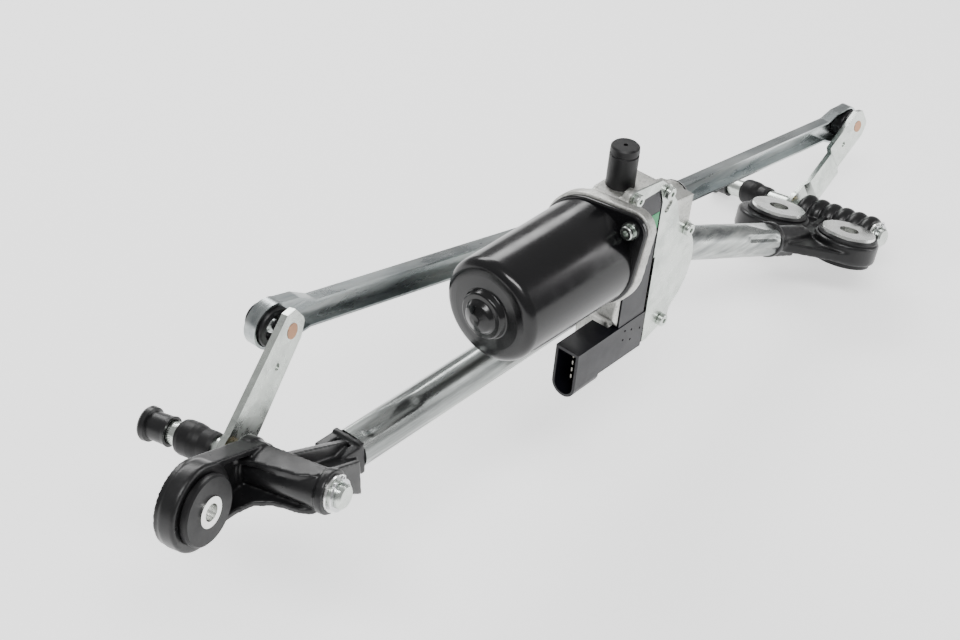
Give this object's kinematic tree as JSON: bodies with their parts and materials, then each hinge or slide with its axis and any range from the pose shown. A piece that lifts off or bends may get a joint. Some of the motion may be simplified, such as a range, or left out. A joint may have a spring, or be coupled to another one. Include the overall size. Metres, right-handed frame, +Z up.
{
  "type": "windshield wiper linkage with motor",
  "caption": "Wiper drive: worm-gear motor on a tubular frame turns a crank that swings two spindles through pressed rods and ball joints.",
  "frame": {"origin": "on the axis of the left mounting bush's bolt hole, inside its sleeve", "axes": "+X along the motor and frame tube towards the right pivot, +Y outward towards the wiper-arm ends of the spindles, +Z up along the rubber locating peg"},
  "size_m": [0.6548, 0.1474, 0.2028],
  "materials": {
    "zinc_bright": "zinc plated, satin",
    "zinc_tube": "zinc plated tube, streaked",
    "zinc_rod": "zinc plated pressed steel",
    "washer_steel": "white zinc plated",
    "copper": "copper-toned rivet",
    "black_plastic": "moulded, satin",
    "electronics_plastic": "fine grained",
    "black_paint": "gloss black",
    "cast_aluminium": "die cast, bead blasted",
    "rubber": "matt",
    "sintered_bronze": "sintered",
    "nylon": "natural",
    "steel": "ground",
    "laminations": "stacked sheet steel",
    "copper_wire": "enamelled wire",
    "ferrite": "sintered ferrite",
    "carbon": "carbon",
    "board": "solder mask",
    "tin": "tin plated",
    "green_label": "printed label, plain"
  },
  "bodies": {
    "frame": {"frame_tube": "zinc_tube", "frame_clamp_screws": "zinc_bright", "pivot_housing_left": "black_plastic", "pivot_housing_right": "black_plastic", "bearing_bushes_left": "sintered_bronze", "bearing_bushes_right": "sintered_bronze", "mount_bush_left": "rubber", "mount_sleeve_left": "washer_steel", "mount_grommets_right": "rubber", "mount_sleeves_right": "washer_steel", "output_bush": "sintered_bronze", "motor_can": "black_paint", "motor_magnets": "ferrite", "brush_card": "nylon", "carbon_brushes": "carbon", "shaft_bearings": "sintered_bronze", "flange_screws": "zinc_bright", "gear_housing": "cast_aluminium", "worm_end_cap": "electronics_plastic", "gear_cover": "zinc_bright", "cover_screws": "zinc_bright", "electronics_housing": "electronics_plastic", "circuit_board": "board", "connector_pins": "tin", "type_label": "green_label", "peg_core": "steel", "peg_sleeve": "rubber"},
    "spindle_left_set": {"spindle_left": "zinc_bright", "lever_left": "zinc_bright", "ball_stud_left": "copper", "transport_cap_left": "black_plastic", "shaft_collar_left": "rubber", "thrust_washer_left": "washer_steel", "circlip_left": "steel"},
    "spindle_right_set": {"spindle_right": "zinc_bright", "lever_right": "zinc_bright", "ball_stud_right": "copper", "transport_cap_right": "black_plastic", "shaft_collar_right": "rubber", "thrust_washer_right": "washer_steel", "circlip_right": "steel"},
    "rod_left_set": {"link_rod_left": "zinc_rod", "ball_socket_left": "black_plastic", "crank_socket_left": "black_plastic", "crank_ball_left": "steel"},
    "rod_right_set": {"link_rod_right": "zinc_rod", "ball_socket_right": "black_plastic", "crank_socket_right": "black_plastic", "crank_ball_right": "steel"},
    "crank_set": {"output_shaft": "steel", "worm_wheel": "nylon", "crank_arm": "zinc_bright", "crank_stud": "steel", "crank_nut": "zinc_bright"},
    "armature_set": {"worm_shaft": "steel", "armature_core": "laminations", "armature_windings": "copper_wire", "commutator": "copper_wire"}
  },
  "joints": [
    {"name": "motor_shaft", "type": "hinge", "parent": "frame", "child": "armature_set", "pos_m": [0.2, -0.0163, 0.0245], "axis": [1, 0, 0], "range_deg": [0, 11426]},
    {"name": "crank_turn", "type": "hinge", "parent": "frame", "child": "crank_set", "pos_m": [0.299, 0, -0.009], "axis": [0, -1, 0], "range_deg": [0, 197]},
    {"name": "wiper_spindle_left", "type": "hinge", "parent": "frame", "child": "spindle_left_set", "pos_m": [0.04111, 0.01821, -0.00884], "axis": [0.2071, -0.9744, 0.0872], "range_deg": [0, 87.81]},
    {"name": "wiper_spindle_right", "type": "hinge", "parent": "frame", "child": "spindle_right_set", "pos_m": [0.5534, 0.0234, -0.1039], "axis": [-0.0687, -0.9824, 0.1736], "range_deg": [0, 72.02]},
    {"name": "rod_left_ball", "type": "hinge", "parent": "spindle_left_set", "child": "rod_left_set", "pos_m": [0.08647, 0.04522, 0.02817], "axis": [-0.1781, 0.9824, -0.0569], "range_deg": [0, 83.26]},
    {"name": "rod_right_ball", "type": "hinge", "parent": "spindle_right_set", "child": "rod_right_set", "pos_m": [0.62185, 0.03868, -0.06928], "axis": [0.0935, 0.9842, -0.1505], "range_deg": [0, 70.54]}
  ],
  "couplings": [
    {"joint": "crank_turn", "follows": "motor_shaft", "ratio": 0.017241},
    {"joint": "wiper_spindle_left", "follows": "motor_shaft", "ratio": 0.0076855},
    {"joint": "wiper_spindle_right", "follows": "motor_shaft", "ratio": 0.0063027},
    {"joint": "rod_left_ball", "follows": "motor_shaft", "ratio": 0.007287},
    {"joint": "rod_right_ball", "follows": "motor_shaft", "ratio": 0.0061735}
  ]
}
